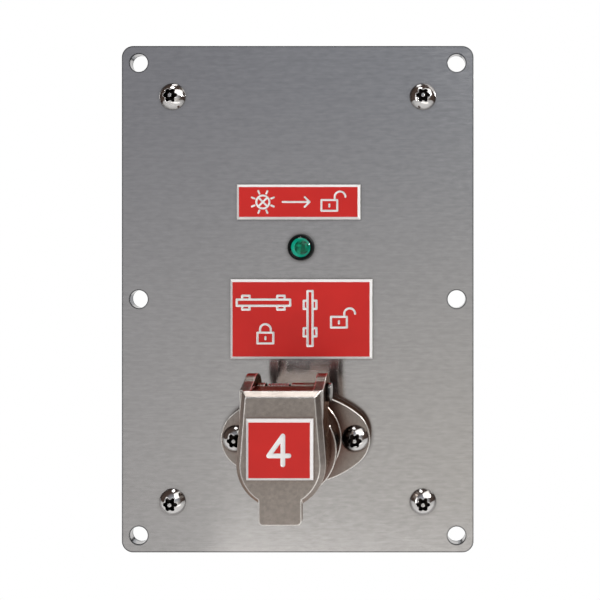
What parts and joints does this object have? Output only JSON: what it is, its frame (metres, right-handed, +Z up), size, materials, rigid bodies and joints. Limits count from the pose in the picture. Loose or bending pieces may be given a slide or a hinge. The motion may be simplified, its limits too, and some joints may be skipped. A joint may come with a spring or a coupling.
{
  "type": "trapped key interlock",
  "caption": "Panel-mounted trapped key interlock: steel face plate with a capped key lock, lamp and labels, and a chassis behind with a solenoid bolt, cams and switches.",
  "frame": {"origin": "centre of the face plate on its back face, which is the centre of the fixing holes", "axes": "+Z up along the plate's height, +Y from the plate's back into the panel, +X to the right seen from the front"},
  "size_m": [0.125, 0.0966, 0.18],
  "materials": {
    "plate_steel": "horizontally brushed stainless steel",
    "chassis_zinc": "zinc-plated sheet steel",
    "fastener_steel": "polished stainless steel",
    "fastener_zinc": "bright zinc plate",
    "label_red": "red over white engraved laminate",
    "lens_green": "clear green moulded lens",
    "lamp_black": "black moulded plastic",
    "lamp_light": "clear moulded light source",
    "rubber_black": "black rubber",
    "lock_nickel": "satin nickel on a casting",
    "rotor_steel": "turned steel",
    "cam_black": "black moulded plastic",
    "brass": "plain brass",
    "spring_steel": "drawn spring wire",
    "bobbin_plastic": "natural moulded plastic",
    "coil_copper": "enamelled copper winding",
    "plunger_red": "red moulded plastic"
  },
  "bodies": {
    "housing": {"face_plate": "plate_steel", "chassis": "chassis_zinc", "solenoid_frame": "chassis_zinc", "chassis_screws": "fastener_steel", "lock_screws": "fastener_steel", "chassis_nuts": "fastener_zinc", "lock_nuts": "fastener_zinc", "lock_washers": "fastener_zinc", "lamp_nut": "fastener_zinc", "rotor_ring": "fastener_zinc", "solenoid_screws": "fastener_zinc", "switch_screws": "fastener_zinc", "terminal_screws": "fastener_zinc", "strip_screws": "fastener_zinc", "lamp_pins": "fastener_zinc", "status_label": "label_red", "position_label": "label_red", "lamp_lens": "lens_green", "lamp_holder": "lamp_black", "lamp_emitter": "lamp_light", "lamp_seal": "rubber_black", "cable_grommet": "rubber_black", "lock_body": "lock_nickel", "solenoid_core": "rotor_steel", "switches": "cam_black", "terminal_strip": "cam_black", "spindle_bush": "brass", "switch_tabs": "brass", "terminal_plates": "brass", "cap_spring": "spring_steel", "bolt_spring": "spring_steel", "solenoid_bobbin": "bobbin_plastic", "solenoid_coil": "coil_copper"},
    "rotor": {"lock_rotor": "rotor_steel", "spindle": "rotor_steel", "drive_pin": "rotor_steel", "lock_cam": "rotor_steel", "switch_cam": "cam_black", "spindle_clip": "fastener_zinc"},
    "cap": {"dust_cap": "lock_nickel", "cap_label": "label_red", "hinge_pin": "fastener_steel"},
    "bolt": {"locking_bolt": "rotor_steel"},
    "plungers": {"switch_plungers": "plunger_red"}
  },
  "joints": [
    {"name": "cap_hinge", "type": "hinge", "parent": "housing", "child": "cap", "pos_m": [0, -0.0197, -0.0284], "axis": [-1, 0, 0], "range_deg": [0, 110], "stiffness_Nm_per_rad": 0.02, "springref_deg": -34.38, "deforming": ["cap_spring"]},
    {"name": "rotor_turn", "type": "hinge", "parent": "housing", "child": "rotor", "pos_m": [0, 0, -0.0482], "axis": [0, 1, 0], "range_deg": [0, 90]},
    {"name": "bolt_slide", "type": "slide", "parent": "housing", "child": "bolt", "axis": [-1, 0, 0], "range_m": [0, 0.005], "deforming": ["bolt_spring"]},
    {"name": "plunger_slide", "type": "slide", "parent": "housing", "child": "plungers", "axis": [-1, 0, 0], "range_m": [0, 0.0025]}
  ],
  "couplings": [
    {"joint": "plunger_slide", "follows": "rotor_turn", "m_per_rad": 0.0015915}
  ]
}
